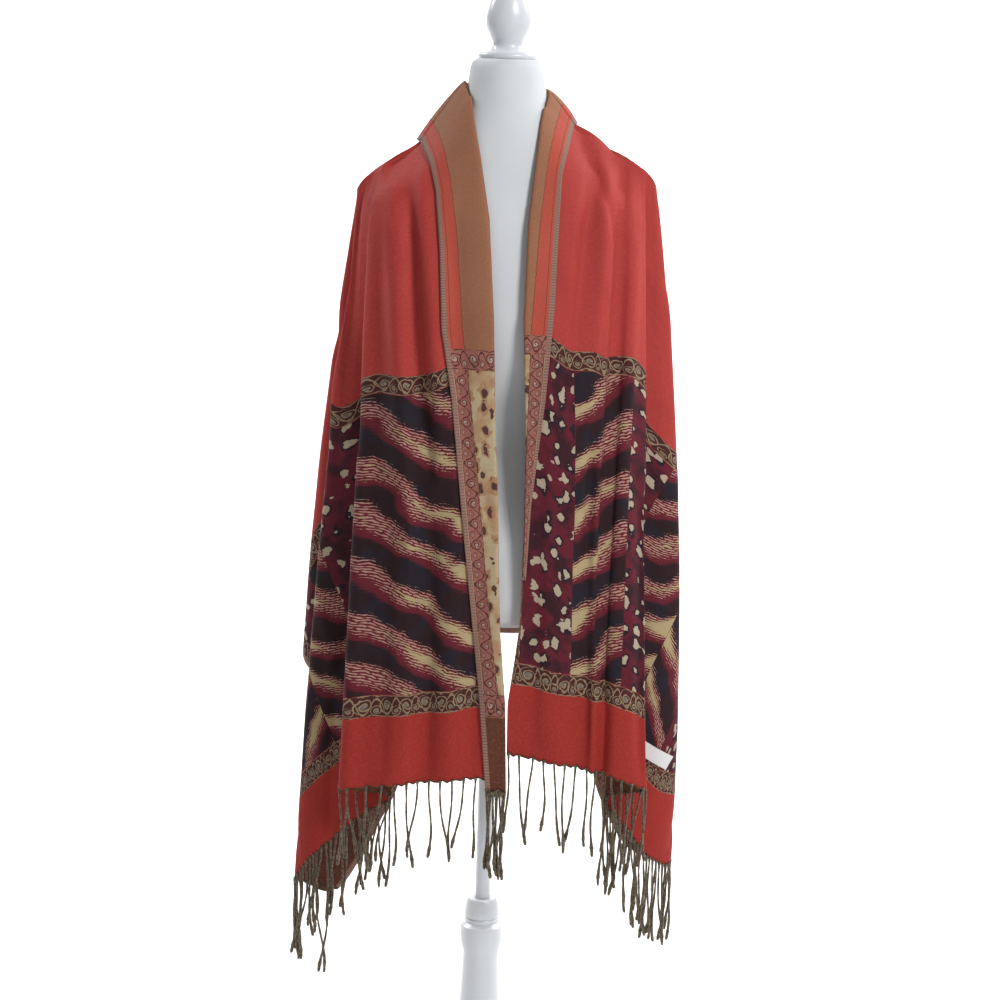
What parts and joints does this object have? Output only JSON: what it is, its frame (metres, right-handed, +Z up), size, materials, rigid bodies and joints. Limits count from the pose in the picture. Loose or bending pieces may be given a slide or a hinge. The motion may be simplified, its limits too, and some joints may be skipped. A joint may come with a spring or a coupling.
{
  "type": "pashmina scarf on a dress form",
  "caption": "Wide woven shawl with fringed ends and turned-out lapels, hanging open over the shoulders of a limbless dress form on a turned stand.",
  "frame": {"origin": "middle of the underside of the round base, on the floor", "axes": "+Z up along the pole; the form faces -Y; +X is the viewer's right"},
  "size_m": [0.4856, 0.34, 1.574],
  "materials": {
    "shawl_cloth": "satin jacquard weave",
    "fringe_yarn": "twisted matt yarn",
    "label_tape": "white woven tape",
    "form_cover": "matt stretched jersey",
    "painted_wood": "white satin paint"
  },
  "bodies": {
    "root": {"shawl_right_front": "shawl_cloth", "shawl_left_front": "shawl_cloth", "shawl_back": "shawl_cloth", "fringe_right": "fringe_yarn", "fringe_left": "fringe_yarn", "fringe_lapel": "fringe_yarn", "sewn_label": "label_tape", "form_torso": "form_cover", "finial": "painted_wood", "pole": "painted_wood", "turned_column": "painted_wood", "base": "painted_wood"}
  },
  "joints": []
}
